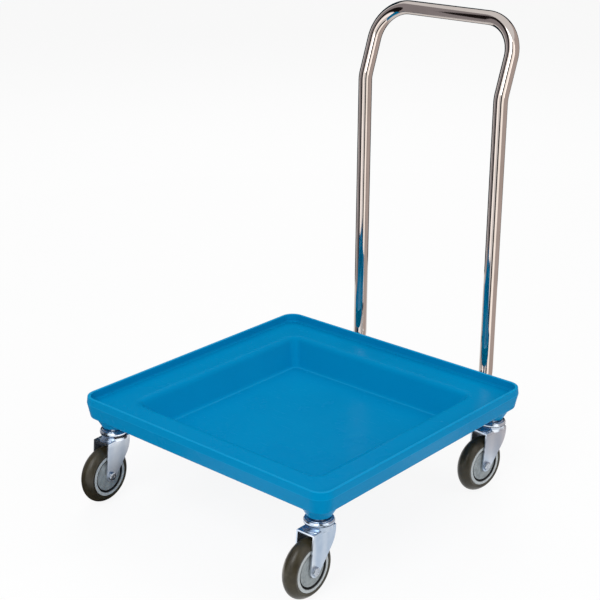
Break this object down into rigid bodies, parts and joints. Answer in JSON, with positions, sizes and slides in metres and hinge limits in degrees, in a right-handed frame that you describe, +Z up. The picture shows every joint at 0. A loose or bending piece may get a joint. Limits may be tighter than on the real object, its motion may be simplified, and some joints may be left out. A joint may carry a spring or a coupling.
{
  "type": "dish rack trolley",
  "caption": "Low square moulded tray on swivel casters, with a bent tube push handle, for moving stacked dish racks.",
  "frame": {"origin": "on the floor, under the middle of the overall box", "axes": "+Z up, +Y towards the push handle, X across the trolley"},
  "size_m": [0.543, 0.7052, 0.8025],
  "materials": {
    "blue_plastic": "moulded, smooth satin gloss",
    "black_plastic": "moulded, matt",
    "grey_plastic": "moulded, satin",
    "light_grey_plastic": "moulded, satin",
    "grey_rubber": "smooth, slightly glossy",
    "polished_steel": "polished stainless tube",
    "bright_zinc": "bright zinc plate on pressed sheet",
    "zinc_steel": "zinc plate",
    "bearing_steel": "ground",
    "brass_insert": "turned"
  },
  "bodies": {
    "trolley": {"tray": "blue_plastic", "handle_tube": "polished_steel", "handle_end_plugs": "black_plastic", "handle_saddle_front_right": "zinc_steel", "handle_saddle_back_right": "zinc_steel", "handle_saddle_front_left": "zinc_steel", "handle_saddle_back_left": "zinc_steel", "saddle_bolts": "zinc_steel", "saddle_inserts": "brass_insert", "upper_race_balls": "bearing_steel", "lower_race_balls": "bearing_steel", "stem_insert_front_right": "brass_insert", "kingpin_front_right": "zinc_steel", "race_cap_front_right": "bright_zinc", "lower_cup_front_right": "zinc_steel", "stem_insert_front_left": "brass_insert", "kingpin_front_left": "zinc_steel", "race_cap_front_left": "bright_zinc", "lower_cup_front_left": "zinc_steel", "stem_insert_back_right": "brass_insert", "kingpin_back_right": "zinc_steel", "race_cap_back_right": "bright_zinc", "lower_cup_back_right": "zinc_steel", "stem_insert_back_left": "brass_insert", "kingpin_back_left": "zinc_steel", "race_cap_back_left": "bright_zinc", "lower_cup_back_left": "zinc_steel"},
    "fork_front_right_body": {"fork_front_right": "bright_zinc", "axle_bolt_front_right": "zinc_steel", "axle_nut_front_right": "zinc_steel", "axle_sleeve_front_right": "zinc_steel", "hub_guards_front_right": "grey_plastic"},
    "wheel_front_right_body": {"wheel_hub_front_right": "light_grey_plastic", "tread_front_right": "grey_rubber"},
    "fork_front_left_body": {"fork_front_left": "bright_zinc", "axle_bolt_front_left": "zinc_steel", "axle_nut_front_left": "zinc_steel", "axle_sleeve_front_left": "zinc_steel", "hub_guards_front_left": "grey_plastic"},
    "wheel_front_left_body": {"wheel_hub_front_left": "light_grey_plastic", "tread_front_left": "grey_rubber"},
    "fork_back_right_body": {"fork_back_right": "bright_zinc", "axle_bolt_back_right": "zinc_steel", "axle_nut_back_right": "zinc_steel", "axle_sleeve_back_right": "zinc_steel", "hub_guards_back_right": "grey_plastic"},
    "wheel_back_right_body": {"wheel_hub_back_right": "light_grey_plastic", "tread_back_right": "grey_rubber"},
    "fork_back_left_body": {"fork_back_left": "bright_zinc", "axle_bolt_back_left": "zinc_steel", "axle_nut_back_left": "zinc_steel", "axle_sleeve_back_left": "zinc_steel", "hub_guards_back_left": "grey_plastic"},
    "wheel_back_left_body": {"wheel_hub_back_left": "light_grey_plastic", "tread_back_left": "grey_rubber"}
  },
  "joints": [
    {"name": "swivel_front_right", "type": "hinge", "parent": "trolley", "child": "fork_front_right_body", "pos_m": [0.2325, -0.27363, 0.1116], "axis": [0, 0, 1], "continuous": true},
    {"name": "wheel_front_right_spin", "type": "hinge", "parent": "fork_front_right_body", "child": "wheel_front_right_body", "pos_m": [0.23291, -0.30263, 0.05], "axis": [0.9999, 0.014, 0], "continuous": true},
    {"name": "swivel_front_left", "type": "hinge", "parent": "trolley", "child": "fork_front_left_body", "pos_m": [-0.2325, -0.27363, 0.1116], "axis": [0, 0, 1], "continuous": true},
    {"name": "wheel_front_left_spin", "type": "hinge", "parent": "fork_front_left_body", "child": "wheel_front_left_body", "pos_m": [-0.23012, -0.30254, 0.05], "axis": [0.9966, 0.0819, 0], "continuous": true},
    {"name": "swivel_back_right", "type": "hinge", "parent": "trolley", "child": "fork_back_right_body", "pos_m": [0.2325, 0.19137, 0.1116], "axis": [0, 0, 1], "continuous": true},
    {"name": "wheel_back_right_spin", "type": "hinge", "parent": "fork_back_right_body", "child": "wheel_back_right_body", "pos_m": [0.22947, 0.16253, 0.05], "axis": [0.9945, -0.1045, 0], "continuous": true},
    {"name": "swivel_back_left", "type": "hinge", "parent": "trolley", "child": "fork_back_left_body", "pos_m": [-0.2325, 0.19137, 0.1116], "axis": [0, 0, 1], "continuous": true},
    {"name": "wheel_back_left_spin", "type": "hinge", "parent": "fork_back_left_body", "child": "wheel_back_left_body", "pos_m": [-0.23149, 0.16238, 0.05], "axis": [0.9994, 0.0349, 0], "continuous": true}
  ]
}
